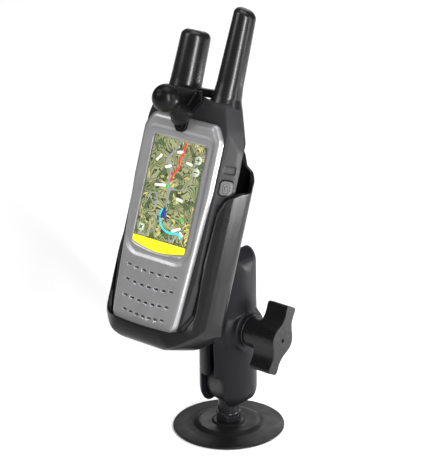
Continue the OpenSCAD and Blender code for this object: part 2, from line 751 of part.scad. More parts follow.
// Hollow round cover with a domed end
module antenna_cover(foot_r, tip_r, top, dome) difference() {
    rotate_extrude() polygon(rounded([
        [0, root_z, 0], [foot_r, root_z, 0], [tip_r, top, dome], [0, top, 0]
    ]));
    translate([0, 0, root_z - 1]) cylinder(h = top - root_z - 3, r = tip_r - 2.2);
}

module at_antenna(side) translate([side * antenna_x, antenna_y, 0]) children();

module gps_antenna_cover() color("#2e2e30") on_cradle() at_antenna(-1)
    antenna_cover(gps_r, gps_r - 0.9, gps_top, 4);

module gps_antenna_element() color("tan") on_cradle() at_antenna(-1)
    translate([0, 0, root_z + 1]) cylinder(h = 27, r = 5);

module radio_antenna_sheath() color("#2e2e30") on_cradle() at_antenna(1)
    antenna_cover(radio_r, radio_r - 1.3, radio_top, 4.5);

module radio_antenna_rod() color("silver") on_cradle() at_antenna(1)
    translate([0, 0, root_z + 0.5]) cylinder(h = radio_top - root_z - 5, r = 1.6);

module power_button() color("#2a2a2c") on_cradle() key_cap(power_key);
module talk_button() color("#2a2a2c") on_cradle() key_cap(talk_key);
module call_button() color("#2a2a2c") on_cradle() key_cap(call_key);

module button_switches() color("silver") on_cradle() for (k = keys)
    on_flank(k[0], k[1]) translate([-wall - 4.2, -1.5, -1.5]) cube([2, 3, 3]);

adhesive_pad();
flex_disc();
base_post();
lower_ball();
arm_half_left();
arm_half_right();
clamp_bolt();
arm_spring();
knob_washer();
clamp_knob();
knob_insert();
upper_ball();
ball_plate();
plate_screws();
plate_nuts();
cradle_shell();
clip_pin();
release_clip();
face_bezel();
name_strip();
screen_lens();
display_panel();
front_housing();
housing_gasket();
rear_housing();
housing_screws();
main_board();
board_screws();
speaker();
microphone();
battery_pack();
battery_contacts();
data_port();
port_cap();
gps_antenna_cover();
gps_antenna_element();
radio_antenna_sheath();
radio_antenna_rod();
power_button();
talk_button();
call_button();
button_switches();
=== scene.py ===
"""Looks of the handheld navigator, its cradle, its double-ball arm and its stick-down base.

Shapes are drawn in millimetres. Pieces of the cradle and the handset are drawn in the
cradle's own frame: x to the handset's right, -y out of its face, z along it, and the upper
ball close to the origin. Everything else is drawn in the row frame, with +Z up.
"""
import json
import math
import bmesh
import bpy
import numpy as np
from mathutils import Matrix, Vector


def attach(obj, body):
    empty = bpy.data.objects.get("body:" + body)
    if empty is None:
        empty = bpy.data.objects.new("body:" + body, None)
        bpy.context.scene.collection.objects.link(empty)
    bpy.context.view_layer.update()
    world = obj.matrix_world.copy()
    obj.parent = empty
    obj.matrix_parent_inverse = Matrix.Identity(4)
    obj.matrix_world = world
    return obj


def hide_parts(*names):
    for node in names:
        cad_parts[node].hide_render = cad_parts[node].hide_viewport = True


MM = 0.001

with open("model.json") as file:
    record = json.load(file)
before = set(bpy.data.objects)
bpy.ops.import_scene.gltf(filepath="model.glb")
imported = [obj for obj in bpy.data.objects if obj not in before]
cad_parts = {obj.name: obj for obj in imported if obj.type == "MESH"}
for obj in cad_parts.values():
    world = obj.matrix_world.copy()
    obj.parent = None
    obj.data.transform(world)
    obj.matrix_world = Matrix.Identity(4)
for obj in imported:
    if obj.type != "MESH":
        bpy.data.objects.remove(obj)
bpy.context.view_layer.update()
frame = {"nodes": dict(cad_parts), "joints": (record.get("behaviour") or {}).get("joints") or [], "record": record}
joints = {j["name"]: j for j in frame["joints"]}

# ---- frames ----
BALL_LOW = joints["arm_tilt"]["pos_m"][2] / MM
BALL_HIGH = joints["cradle_tilt"]["pos_m"][2] / MM
ARM_MID = (BALL_LOW + BALL_HIGH) / 2
LEAN = math.asin(joints["cradle_roll"]["axis"][2])
BALL_AT = Vector((0, -0.9, 2.4))          # upper ball's centre in the cradle's frame
CRADLE = (Matrix.Translation((0, 0, BALL_HIGH)) @ Matrix.Rotation(-LEAN, 4, "X")
          @ Matrix.Translation(-BALL_AT))
ROW = Matrix.Identity(4)
ARM = Matrix.Translation((0, 0, ARM_MID))


# ---- outlines ----
def rounded(corners, steps=10):
    """Closed outline from corners (x, y, radius)."""
    out, n = [], len(corners)
    for i, (x, y, r) in enumerate(corners):
        b = Vector((x, y))
        u = (Vector(corners[i - 1][:2]) - b).normalized()
        v = (Vector(corners[(i + 1) % n][:2]) - b).normalized()
        half = math.acos(max(-1, min(1, u.dot(v)))) / 2
        if r <= 0 or half > math.pi / 2 - 1e-3:
            out.append(b)
            continue
        mid = b + (u + v).normalized() * r / math.sin(half)
        s, e = b + u * r / math.tan(half) - mid, b + v * r / math.tan(half) - mid
        turn = s.angle_signed(e)
        for k in range(steps + 1):
            out.append(mid + Matrix.Rotation(-turn * k / steps, 2) @ s)
    return out


def mirrored(corners):
    """Adds the left side to corners that run up the right side."""
    return corners + [(-x, y, r) for x, y, r in reversed(corners)]


def even(outline, step):
    """The closed outline with points about step apart."""
    pts = [Vector(p) for p in outline]
    legs = [(pts[(i + 1) % len(pts)] - p).length for i, p in enumerate(pts)]
    total = sum(legs)
    count = max(8, round(total / step))
    out, i, start = [], 0, 0.0
    for k in range(count):
        want = total * k / count
        while start + legs[i] < want:
            start += legs[i]
            i += 1
        t = (want - start) / max(legs[i], 1e-9)
        out.append(pts[i].lerp(pts[(i + 1) % len(pts)], t))
    return out


def area(outline):
    return sum(p.x * q.y - q.x * p.y for p, q in zip(outline, outline[1:] + outline[:1])) / 2


def inset(outline, d):
    """The closed outline moved inwards by d."""
    side = 1 if area(outline) > 0 else -1
    out, n = [], len(outline)
    for i, p in enumerate(outline):
        t = (outline[(i + 1) % n] - outline[i - 1]).normalized()
        out.append(p + Vector((-t.y, t.x)) * d * side)
    return out


def distance(xy, outline):
    """Distance of each point to a closed outline, and whether it lies inside."""
    near = np.full(len(xy), 1e9)
    inside = np.zeros(len(xy), bool)
    pts = np.array([tuple(p) for p in outline])
    for a, b in zip(pts, np.roll(pts, -1, axis=0)):
        d = b - a
        t = np.clip(((xy - a) @ d) / max(d @ d, 1e-12), 0, 1)
        near = np.minimum(near, np.linalg.norm(xy - a - t[:, None] * d, axis=1))
        cross = (a[1] > xy[:, 1]) != (b[1] > xy[:, 1])
        slope = (xy[:, 1] - a[1]) / (d[1] if abs(d[1]) > 1e-12 else 1e-12)
        inside ^= cross & (xy[:, 0] < a[0] + slope * d[0])
    return near, inside


def smoothstep(lo, hi, v):
    t = np.clip((v - lo) / (hi - lo), 0, 1)
    return t * t * (3 - 2 * t)


# ---- meshes ----
def mesh_of(verts, faces):
    mesh = bpy.data.meshes.new("work")
    mesh.from_pydata([tuple(v) for v in verts], [], faces)
    return mesh


def loft(rings, capped=True):
    """Skin over closed rings with the same number of points."""
    n = len(rings[0])
    verts = [v for ring in rings for v in ring]
    faces = [(i * n + k, i * n + (k + 1) % n, (i + 1) * n + (k + 1) % n, (i + 1) * n + k)
             for i in range(len(rings) - 1) for k in range(n)]
    for start, ring in ((0, rings[0]), ((len(rings) - 1) * n, rings[-1])) if capped else ():
        verts.append(sum((Vector(v) for v in ring), Vector((0, 0, 0))) / n)
        faces += [(start + k, start + (k + 1) % n, len(verts) - 1) for k in range(n)]
    return mesh_of(verts, faces)


def revolve(profile, sides=96, axis="Z"):
    """Solid of revolution from (radius, height) points that start and end on the axis."""
    turn = {"Z": Matrix.Identity(3), "X": Matrix.Rotation(math.pi / 2, 3, "Y")}[axis]
    rings = [[turn @ Vector((r * math.cos(a), r * math.sin(a), z))
              for a in (2 * math.pi * k / sides for k in range(sides))] for r, z in profile]
    return loft(rings)


def soft_profile(corners, steps=8):
    """Profile whose corners (radius, height, rounding) are rounded, from axis to axis."""
    points = rounded(corners, steps)
    return [(max(p.x, 1e-3), p.y) for p in points]


def slab(outline, low, high, edge, place, steps=5):
    """Prism between two heights with rounded edges. place(u, v, height) gives its points."""
    levels = [(low + edge * (1 - math.cos(a)), edge * (1 - math.sin(a)))
              for a in (math.pi / 2 * k / steps for k in range(steps + 1))]
    levels += [(high - h + low, d) for h, d in reversed(levels)]
    return loft([[place(p.x, p.y, h) for p in inset(outline, d)] for h, d in levels])


def upward(u, v, h):
    return Vector((u, v, h))


def facing(u, v, h):
    return Vector((u, h, v))


def sideways(u, v, h):
    return Vector((h, u, v))


def ring(mid, radius, tube, axis, stretch=1.0, sides=40, around=12):
    """Torus about the x or y axis, stretched along z."""
    rings = []
    for a in (2 * math.pi * k / sides for k in range(sides)):
        out = (math.cos(a), math.sin(a) * stretch)
        turn = []
        for b in (2 * math.pi * k / around for k in range(around)):
            r, h = radius + tube * math.cos(b), tube * math.sin(b)
            flat = (r * out[0], r * out[1])
            turn.append(Vector(mid) + (Vector((flat[0], h, flat[1])) if axis == "Y"
                                       else Vector((h, flat[0], flat[1]))))
        rings.append(turn)
    return loft(rings + rings[:1], capped=False)


def merged(meshes):
    """One mesh of several, as they stand."""
    bm = bmesh.new()
    for m in meshes:
        bm.from_mesh(m)
    mesh = bpy.data.meshes.new("work")
    bm.to_mesh(mesh)
    bm.free()
    return mesh


def cad(node, place=ROW):
    """Copy of a CAD node's mesh, in millimetres and in the frame that place stands for."""
    mesh = frame["nodes"][node].data.copy()
    mesh.transform(frame["nodes"][node].matrix_world)
    mesh.transform(place.inverted() @ Matrix.Scale(1 / MM, 4))
    mesh.materials.clear()
    return mesh


def modified(mesh, *steps):
    """The mesh after modifiers, each given as (type, {setting: value})."""
    obj = bpy.data.objects.new("work", mesh)
    bpy.context.scene.collection.objects.link(obj)
    for kind, settings in steps:
        mod = obj.modifiers.new(kind, kind)
        for key, value in settings.items():
            setattr(mod, key, value)
    graph = bpy.context.evaluated_depsgraph_get()
    made = bpy.data.meshes.new_from_object(obj.evaluated_get(graph))
    bpy.data.objects.remove(obj)
    return made


def coordinates(mesh):
    points = np.empty(len(mesh.vertices) * 3)
    mesh.vertices.foreach_get("co", points)
    return points.reshape(-1, 3)


def bend(mesh, shape):
    """Moves the mesh's points by shape(points array) -> points array."""
    mesh.vertices.foreach_set("co", shape(coordinates(mesh)).ravel())
    mesh.update()
    return mesh


def sculpted(mesh, voxel, rounds, keep=0.4, shape=None, softer=None):
    """Turns a solid into one even skin with softened edges, then bends and thins it out.

    softer is (rounds, weight): more smoothing where weight(points) is above 0.
    """
    skin = modified(mesh, ("REMESH", {"mode": "VOXEL", "voxel_size": voxel}))
    mesh = modified(skin, ("SMOOTH", {"factor": 0.5, "iterations": rounds}))
    if softer:
        soft = coordinates(modified(skin, ("SMOOTH", {"factor": 0.5, "iterations": softer[0]})))
        weight = softer[1](soft)[:, None]
        bend(mesh, lambda p: p * (1 - weight) + soft * weight)
    if shape:
        bend(mesh, shape)
    return modified(mesh, ("DECIMATE", {"ratio": keep})) if keep < 1 else mesh


def softened(node, width, place=ROW):
    """Copy of a CAD node with its sharp edges rounded."""
    bm = bmesh.new()
    bm.from_mesh(cad(node, place))
    bmesh.ops.remove_doubles(bm, verts=bm.verts, dist=0.002)
    bmesh.ops.dissolve_limit(bm, angle_limit=math.radians(1), verts=bm.verts, edges=bm.edges)
    mesh = bpy.data.meshes.new("work")
    bm.to_mesh(mesh)
    bm.free()
    return modified(mesh, ("BEVEL", {"width": width, "segments": 3, "limit_method": "ANGLE",
                                     "angle_limit": math.radians(35)}))


def piece(name, mesh, body, slot, *nodes, place=ROW, flat_angle=None):
    """Makes the piece that stands for CAD nodes, with its slot's material."""
    mesh.transform(Matrix.Scale(MM, 4) @ place)
    mesh.name = name
    bm = bmesh.new()
    bm.from_mesh(mesh)
    bmesh.ops.recalc_face_normals(bm, faces=bm.faces)
    bm.to_mesh(mesh)
    bm.free()
    mesh.polygons.foreach_set("use_smooth", [True] * len(mesh.polygons))
    if flat_angle:
        mesh.set_sharp_from_angle(angle=math.radians(flat_angle))
    mesh.materials.clear()
    mesh.materials.append(MATERIALS[slot])
    obj = bpy.data.objects.new(name, mesh)
    bpy.context.scene.collection.objects.link(obj)
    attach(obj, body)
    if nodes:
        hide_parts(*nodes)
    return obj


# ---- materials ----
def material(name, colour, roughness, grain=0.0, grain_size=0.3, metallic=0.0, spread=0.12,
             rough_spread=0.08, bump=0.02, **sockets):
    """Moulded or coated surface: colour mottling, uneven gloss and fine grain."""
    mat = bpy.data.materials.new(name)
    mat.use_nodes = True
    nodes, links = mat.node_tree.nodes, mat.node_tree.links
    bsdf = nodes["Principled BSDF"]
    coords = nodes.new("ShaderNodeTexCoord")

    def noise(size_mm, detail=3.0):
        n = nodes.new("ShaderNodeTexNoise")
        n.inputs["Scale"].default_value = 1 / (size_mm * MM)
        n.inputs["Detail"].default_value = detail
        links.new(coords.outputs["Object"], n.inputs["Vector"])
        return n

    def remap(source, lo, hi):
        r = nodes.new("ShaderNodeMapRange")
        r.inputs["From Min"].default_value, r.inputs["From Max"].default_value = 0.3, 0.7
        r.inputs["To Min"].default_value, r.inputs["To Max"].default_value = lo, hi
        links.new(source, r.inputs["Value"])
        return r.outputs["Result"]

    mottle, fine = noise(9), noise(grain_size, 5.0)
    mix = nodes.new("ShaderNodeMix")
    mix.data_type = "RGBA"
    mix.inputs["A"].default_value = [c * (1 - spread) for c in colour] + [1]
    mix.inputs["B"].default_value = [min(1, c * (1 + spread)) for c in colour] + [1]
    links.new(mottle.outputs["Fac"], mix.inputs["Factor"])
    links.new(mix.outputs["Result"], bsdf.inputs["Base Color"])
    links.new(remap(mottle.outputs["Fac"], roughness - rough_spread, roughness + rough_spread),
              bsdf.inputs["Roughness"])
    relief = nodes.new("ShaderNodeBump")
    relief.inputs["Strength"].default_value = grain
    relief.inputs["Distance"].default_value = bump * MM
    links.new(fine.outputs["Fac"], relief.inputs["Height"])
    links.new(relief.outputs["Normal"], bsdf.inputs["Normal"])
    bsdf.inputs["Metallic"].default_value = metallic
    for socket, value in sockets.items():
        bsdf.inputs[socket.replace("_", " ")].default_value = value
    return mat


def map_material():
    """Bright screen with a made-up relief map: land tones, woods, contour lines and roads."""
    mat = bpy.data.materials.new("display")
    mat.use_nodes = True
    nodes, links = mat.node_tree.nodes, mat.node_tree.links
    bsdf = nodes["Principled BSDF"]
    coords = nodes.new("ShaderNodeTexCoord")

    def noise(size_mm, detail, warp=0.0):
        n = nodes.new("ShaderNodeTexNoise")
        n.inputs["Scale"].default_value = 1 / (size_mm * MM)
        n.inputs["Detail"].default_value = detail
        n.inputs["Distortion"].default_value = warp
        links.new(coords.outputs["Object"], n.inputs["Vector"])
        return n.outputs["Fac"]

    def maths(operation, a, b=None):
        m = nodes.new("ShaderNodeMath")
        m.operation = operation
        for socket, value in zip(m.inputs, (a, b)):
            if isinstance(value, (int, float)):
                socket.default_value = value
            elif value is not None:
                links.new(value, socket)
        return m.outputs[0]

    def ramp(source, stops):
        r = nodes.new("ShaderNodeValToRGB")
        while len(r.color_ramp.elements) < len(stops):
            r.color_ramp.elements.new(0.5)
        for e, (at, colour) in zip(r.color_ramp.elements, stops):
            e.position, e.color = at, [*colour, 1]
        links.new(source, r.inputs["Fac"])
        return r.outputs["Color"]

    def blend(factor, a, b):
        m = nodes.new("ShaderNodeMix")
        m.data_type = "RGBA"
        for key, value in (("Factor", factor), ("A", a), ("B", b)):
            if isinstance(value, tuple):
                m.inputs[key].default_value = [*value, 1]
            else:
                links.new(value, m.inputs[key])
        return m.outputs["Result"]

    height = noise(19, 2.5, 0.9)
    land = ramp(height, [(0.34, (0.20, 0.27, 0.09)), (0.44, (0.34, 0.40, 0.17)),
                         (0.50, (0.46, 0.48, 0.24)), (0.56, (0.26, 0.33, 0.11)),
                         (0.66, (0.42, 0.38, 0.20))])
    wood = maths("GREATER_THAN", noise(7.5, 2.0, 0.6), 0.56)
    land = blend(wood, land, (0.10, 0.17, 0.045))
    rings = maths("PINGPONG", maths("MULTIPLY", height, 30.0), 0.5)
    bright = maths("GREATER_THAN", noise(9, 1.5, 1.6), 0.60)
    land = blend(bright, land, (0.80, 0.74, 0.22))
    lines = maths("LESS_THAN", rings, 0.15)
    land = blend(lines, land, (0.045, 0.03, 0.01))
    road = maths("LESS_THAN", maths("ABSOLUTE", maths("SUBTRACT", noise(30, 1.0, 0.4), 0.5)), 0.007)
    land = blend(road, land, (0.36, 0.37, 0.38))
    bsdf.inputs["Roughness"].default_value = 0.4
    bsdf.inputs["Emission Strength"].default_value = 1.15
    links.new(land, bsdf.inputs["Emission Color"])
    bsdf.inputs["Base Color"].default_value = (0.02, 0.02, 0.02, 1)
    return mat


def flat_material(name, colour, glow):
    """Screen symbol that shines a little, with a faint print texture."""
    mat = material(name, colour, 0.5, grain=0.1, spread=0.05, Emission_Strength=glow)
    mat.node_tree.nodes["Principled BSDF"].inputs["Emission Color"].default_value = [*colour, 1]
    return mat


MATERIALS = {
    "adhesive": material("adhesive", (0.05, 0.05, 0.05), 0.85, 0.6, 0.5, bump=0.1),
    "disc_plastic": material("disc_plastic", (0.006, 0.006, 0.0065), 0.34, 0.3, 0.35, bump=0.02,
                             Specular_IOR_Level=0.12),
    "post_metal": material("post_metal", (0.008, 0.008, 0.009), 0.3, 0.2, 0.2, metallic=0.3,
                           Specular_IOR_Level=0.3),
    "ball_rubber": material("ball_rubber", (0.014, 0.014, 0.014), 0.5, 0.6, 0.25, bump=0.04),
    "arm_coat": material("arm_coat", (0.0055, 0.0055, 0.0068), 0.42, 0.6, 0.45, bump=0.04,
                         rough_spread=0.05, Specular_IOR_Level=0.12),
    "knob_plastic": material("knob_plastic", (0.006, 0.006, 0.0065), 0.32, 0.3, 0.3, bump=0.02,
                             Specular_IOR_Level=0.2),
    "steel": material("steel", (0.55, 0.55, 0.56), 0.3, 0.25, 0.15, metallic=1.0, bump=0.01),
    "brass_insert": material("brass_insert", (0.62, 0.42, 0.16), 0.32, 0.3, 0.2, metallic=1.0),
    "cradle_plastic": material("cradle_plastic", (0.0035, 0.0035, 0.0038), 0.3, 0.2, 0.3,
                               bump=0.008, rough_spread=0.03, Specular_IOR_Level=0.12),
    "face_grey": material("face_grey", (0.27, 0.27, 0.275), 0.34, 0.2, 0.18, metallic=0.6,
                          spread=0.03, bump=0.006, rough_spread=0.03),
    "strip_yellow": material("strip_yellow", (0.83, 0.72, 0.01), 0.35, 0.1, 0.3, spread=0.04),
    "lens": material("lens", (0.02, 0.02, 0.02), 0.06, 0.05, 0.3, rough_spread=0.02,
                     Alpha=0.07),
    "display": map_material(),
    "body_rubber": material("body_rubber", (0.017, 0.017, 0.018), 0.48, 0.5, 0.28, bump=0.02,
                            Specular_IOR_Level=0.15),
    "gasket": material("gasket", (0.03, 0.03, 0.031), 0.6, 0.4, 0.3),
    "board_green": material("board_green", (0.02, 0.12, 0.05), 0.4, 0.3, 0.6, spread=0.3),
    "speaker_black": material("speaker_black", (0.02, 0.02, 0.022), 0.7, 0.7, 0.4, bump=0.08),
    "battery": material("battery", (0.03, 0.03, 0.031), 0.42, 0.4, 0.3),
    "contacts": material("contacts", (0.75, 0.55, 0.22), 0.25, 0.2, 0.1, metallic=1.0),
    "antenna_rubber": material("antenna_rubber", (0.006, 0.006, 0.0065), 0.27, 0.2, 0.3,
                               bump=0.008, spread=0.05, rough_spread=0.02, Specular_IOR_Level=0.3),
    "ceramic": material("ceramic", (0.6, 0.52, 0.4), 0.5, 0.3, 0.3),
    "key_rubber": material("key_rubber", (0.03, 0.03, 0.031), 0.5, 0.5, 0.25, bump=0.03),
}
SIGNS = {
    "red": flat_material("sign_red", (0.75, 0.02, 0.015), 0.7),
    "cyan": flat_material("sign_cyan", (0.02, 0.55, 0.62), 0.7),
    "navy": flat_material("sign_navy", (0.01, 0.03, 0.18), 0.6),
    "green": flat_material("sign_green", (0.03, 0.42, 0.06), 0.6),
    "white": flat_material("sign_white", (0.72, 0.72, 0.66), 0.65),
    "dark": flat_material("sign_dark", (0.02, 0.02, 0.015), 0.2),
    "pale": flat_material("sign_pale", (0.42, 0.47, 0.36), 0.6),
}

SLOT_OF = {part["node"]: part["material_slot"] for part in frame["record"]["subparts"]}
BODY_OF = {node: body for body, nodes in frame["record"]["behaviour"]["bodies"].items()
           for node in nodes}


def finish_node(node):
    """Gives a CAD node that stays in view its slot's material."""
    obj = frame["nodes"][node]
    for s in obj.material_slots:
        s.material = MATERIALS[SLOT_OF[node]]
    if not obj.material_slots:
        obj.data.materials.append(MATERIALS[SLOT_OF[node]])


def stand_in(node, mesh, place=ROW, flat_angle=None):
    """Piece that replaces one CAD node, on its body and with its slot."""
    piece(node + "_v", mesh, BODY_OF[node], SLOT_OF[node], node, place=place,
          flat_angle=flat_angle)


# ---- base ----
def build_base():
    disc_r, pad_top, seat = 31.7, 0.8, 4.6
    hex_r, hex_top, post_r, post_top = 7.5, 9.4, 6, 33.5
    profile = soft_profile([(0, pad_top, 0), (disc_r, pad_top, 0.3), (disc_r, 1.9, 0.45),
                            (24, 2.5, 12), (20, 3.0, 5), (17, 4.4, 4), (12.5, 4.0, 5),
                            (9.6, 3.9, 1.5), (8.6, seat, 0.8), (0, seat, 0)])
    stand_in("flex_disc", revolve(profile, 160), flat_angle=60)
    hexagon = [Vector((hex_r * math.cos(a), hex_r * math.sin(a)))
               for a in (math.pi / 3 * k for k in range(6))]
    foot = slab(even(rounded([(p.x, p.y, 0.9) for p in hexagon]), 0.5), seat, hex_top, 0.7, upward)
    post = revolve(soft_profile([(0, 9, 0), (7.1, 9, 0), (post_r, 9.6, 0.8), (post_r, 20, 9),
                                 (post_r, post_top, 0.8), (0, post_top, 0)]), 64)
    stand_in("base_post", merged([foot, post]), flat_angle=40)


def ball_profile():
    """Rubber jacket with a rounded mouth and a faint parting line round its middle."""
    r, bore, past = 12.7, 6.05, 4.3
    foot = -math.sqrt(r * r - (bore + 0.9) ** 2)
    out = [(1e-3, past), (bore, past), (bore, foot - 0.1), (bore + 0.35, foot - 0.35)]
    start = math.asin(foot / r)
    for k in range(49):
        a = start + (math.pi / 2 - start) * k / 48
        seam = 0.07 * math.exp(-(a / 0.022) ** 2)
        out.append(((r - 0.07 + seam) * math.cos(a) + 1e-3, (r - 0.07 + seam) * math.sin(a)))
    return out


def build_balls():
    lower = revolve(ball_profile(), 128)
    lower.transform(Matrix.Translation((0, 0, BALL_LOW)))
    stand_in("lower_ball", lower, flat_angle=50)
    upper = revolve(ball_profile(), 128)
    upper.transform(Matrix.Translation(BALL_AT) @ Matrix.Rotation(math.pi / 2, 4, "X"))
    stand_in("upper_ball", upper, place=CRADLE, flat_angle=50)


# ---- arm and clamp ----
def build_arm():
    for node in ("arm_half_left", "arm_half_right"):
        stand_in(node, sculpted(cad(node, ARM), 0.4, 22, 0.35), place=ARM)
    stand_in("clamp_bolt", softened("clamp_bolt", 0.25, ARM), place=ARM, flat_angle=35)
    turns, end, coil, wire = 4, 8.4, 4.6, 0.55
    rings = []
    for i in range(turns * 40 + 1):
        t = i / (turns * 40)
        a = 2 * math.pi * turns * t
        mid = Vector((2 * end * (t - 0.5), coil * math.cos(a), coil * math.sin(a)))
        out = Vector((0, math.cos(a), math.sin(a)))
        rings.append([mid + wire * (math.cos(b) * out + math.sin(b) * Vector((1, 0, 0)))
                      for b in (2 * math.pi * k / 12 for k in range(12))])
    stand_in("arm_spring", loft(rings), place=ARM, flat_angle=50)
    washer = revolve(soft_profile([(0, 16.4, 0), (9.6, 16.4, 0.3), (9.6, 17.8, 0.4),
                                   (0, 17.8, 0)]), 64, "X")
    stand_in("knob_washer", washer, place=ARM, flat_angle=50)


def build_knob():
    front, radius = 39.6, 19.5

    def crown(p):
        r = np.hypot(p[:, 1], p[:, 2])
        near = smoothstep(front - 3, front, p[:, 0])
        p[:, 0] -= near * 0.6 * (r / radius) ** 2
        return p

    stand_in("clamp_knob", sculpted(cad("clamp_knob", ARM), 0.3, 10, 0.4, crown), place=ARM)
    stand_in("knob_insert", softened("knob_insert", 0.15, ARM), place=ARM, flat_angle=35)


# ---- cradle ----
def build_cradle():
    stand_in("ball_plate", sculpted(cad("ball_plate", CRADLE), 0.36, 7, 0.35), place=CRADLE)
    for node in ("plate_screws", "plate_nuts", "clip_pin"):
        stand_in(node, softened(node, 0.2, CRADLE), place=CRADLE, flat_angle=35)
    cup_top, cup_low, middle_y = -29.0, -42.5, -49.0
    half_wide, half_deep, narrowing, rim_lift = 33.8, 19.5, 0.13, 16

    def round_cup(p):
        down = np.clip((cup_top - p[:, 2]) / (cup_top - cup_low), 0, 1)
        shrink = 1 - narrowing * down ** 2.2
        p[:, 0] *= shrink
        p[:, 1] = middle_y + (p[:, 1] - middle_y) * shrink
        q = np.hypot(p[:, 0] / half_wide, (p[:, 1] - middle_y) / half_deep)
        p[:, 2] += smoothstep(0.0, 0.5, down) * rim_lift * np.clip(q - 0.7, 0, 1) ** 2
        return p

    shell = sculpted(cad("cradle_shell", CRADLE), 0.36, 10, 0.3, round_cup,
                     (60, lambda p: 1 - smoothstep(-36, -28, p[:, 2])))
    stand_in("cradle_shell", shell, place=CRADLE)
    build_clip()


def thumb(middle, foot, radius):
    """Ball with a slightly dimpled end, on a stalk that flares into the plate."""
    along = (foot - middle).normalized()
    reach = (foot - middle).length
    profile = [(1e-3, -radius + 0.25), (0.6, -radius + 0.22)]
    for k in range(29):
        a = math.radians(8 + (145 - 8) * k / 28)
        profile.append((radius * math.sin(a), -radius * math.cos(a)))
    profile += [(4.6, 6.8), (4.7, 8), (5.0, 10), (5.5, 13), (6.2, 16), (6.9, reach), (1e-3, reach)]
    mesh = revolve(profile, 72)
    turn = along.to_track_quat("Z", "Y").to_matrix().to_4x4()
    mesh.transform(Matrix.Translation(middle) @ turn)
    return mesh


def build_clip():
    front, top, thick, half = -67.6, 97.8, 4.3, 4.9
    plate = even(rounded(mirrored([(2, 73, 1.8), (4, 75.6, 2), (4.6, 83, 8), (11, 91.5, 1),
                                   (9.2, 96.6, 2)])), 0.35)
    shield = even(rounded(mirrored([(1.8, 83.6, 1.2), (8.6, 96.6, 1.6)])), 0.35)
    strap = even(rounded([(-41, top - thick, 0.4), (-41, top, 0.4), (front, top, 3),
                          (front, 90, 0.3), (front + 2, 90, 0.3), (front + 2, top - thick, 1)]), 0.35)
    hook = even(rounded([(-35.5, 95.5, 0.5), (-36.5, top, 1.5), (-43, top, 0.4),
                         (-43, top - thick, 0.4), (-39.9, 93, 0.5)]), 0.35)
    knuckle = revolve(soft_profile([(0, -1.9, 0), (2.8, -1.9, 0.3), (2.8, 1.9, 0.3),
                                    (0, 1.9, 0)]), 40, "X")
    knuckle.transform(Matrix.Translation((0, -37.5, 94)))
    ball = thumb(Vector((0, -83.4, 89.5)), Vector((0, -67.8, 82.6)), 7.6)
    eye = ring((0, front - 0.05, 76.5), 1.5, 0.42, "Y", 1.2)
    parts = [slab(plate, front, front + 2, 0.45, facing),
             slab(shield, front - 2.2, front + 1, 0.7, facing),
             slab(strap, -half, half, 0.6, sideways),
             slab(hook, -1.9, 1.9, 0.3, sideways),
             knuckle, ball, eye]
    stand_in("release_clip", merged(parts), place=CRADLE, flat_angle=55)


# ---- handset ----
FACE_Y = -65.2
FACE_BACK = -61.8
FACE_EDGE = mirrored([(20.5, -35.5, 7), (22.6, -28, 10), (26, 30, 40), (27, 45, 40),
                      (27, 73, 6), (22, 81, 5)])
TRAY = mirrored([(21.6, 5.6, 9), (21.6, 72, 3)])
TRAY_DEPTH = 0.7


def build_face():
    edge = even(rounded(FACE_EDGE), 0.8)
    tray = even(rounded(TRAY), 0.8)
    roll, roll_drop = 3.4, 2.7
    slope_wide = 3.0

    def shape(p):
        xz = p[:, [0, 2]]
        to_edge, _ = distance(xz, edge)
        lift = (FACE_BACK - p[:, 1]) / (FACE_BACK - FACE_Y)
        t = np.clip(1 - to_edge / roll, 0, 1)
        drop = roll_drop * (1 - np.sqrt(np.clip(1 - t * t, 0, 1)))
        to_tray, inside = distance(xz, tray)
        slope = TRAY_DEPTH * (1 - smoothstep(0, slope_wide, np.where(inside, 0, to_tray)))
        front = p[:, 1] < FACE_Y + 0.2 + TRAY_DEPTH * inside
        front |= (to_tray < 0.7) & (p[:, 1] < FACE_Y + 1.1)
        p[:, 1] = np.where(front, FACE_Y + np.maximum(drop, slope),
                           p[:, 1] + lift * np.maximum(drop, slope * ~inside))
        return p

    mesh = sculpted(cad("face_bezel", CRADLE), 0.2, 1, 0.5, shape)
    stand_in("face_bezel", mesh, place=CRADLE)
    stand_in("name_strip", softened("name_strip", 0.15, CRADLE), place=CRADLE, flat_angle=35)
    for node in ("screen_lens", "display_panel"):
        stand_in(node, softened(node, 0.12, CRADLE), place=CRADLE, flat_angle=35)


SIGN_Y, SIGN_T = -63.44, 0.02


def sign(name, colour, outline):
    """Thin symbol that lies on the display, under the lens."""
    n = len(outline)
    front = SIGN_Y - SIGN_T * (1.8 if colour == "dark" else 1)
    flat = mesh_of([(p[0], y, p[1]) for y in (front, SIGN_Y + SIGN_T) for p in outline],
                   [tuple(range(n)), tuple(range(2 * n - 1, n - 1, -1))]
                   + [(k, (k + 1) % n, n + (k + 1) % n, n + k) for k in range(n)])
    obj = piece(name, flat, BODY_OF["display_panel"], SLOT_OF["display_panel"], "display_panel",
                place=CRADLE)
    obj.data.materials[0] = SIGNS[colour]


def track(points, width):
    """Outline of a line of even width along smoothed points."""
    path = [Vector(p) for p in points]
    for _ in range(3):
        cut = [a.lerp(b, t) for a, b in zip(path, path[1:]) for t in (0.25, 0.75)]
        path = [path[0]] + cut + [path[-1]]
    left, right = [], []
    for i, p in enumerate(path):
        along = (path[min(i + 1, len(path) - 1)] - path[max(i - 1, 0)]).normalized()
        across = Vector((-along.y, along.x)) * width / 2
        left.append(p + across)
        right.append(p - across)
    return left + right[::-1]


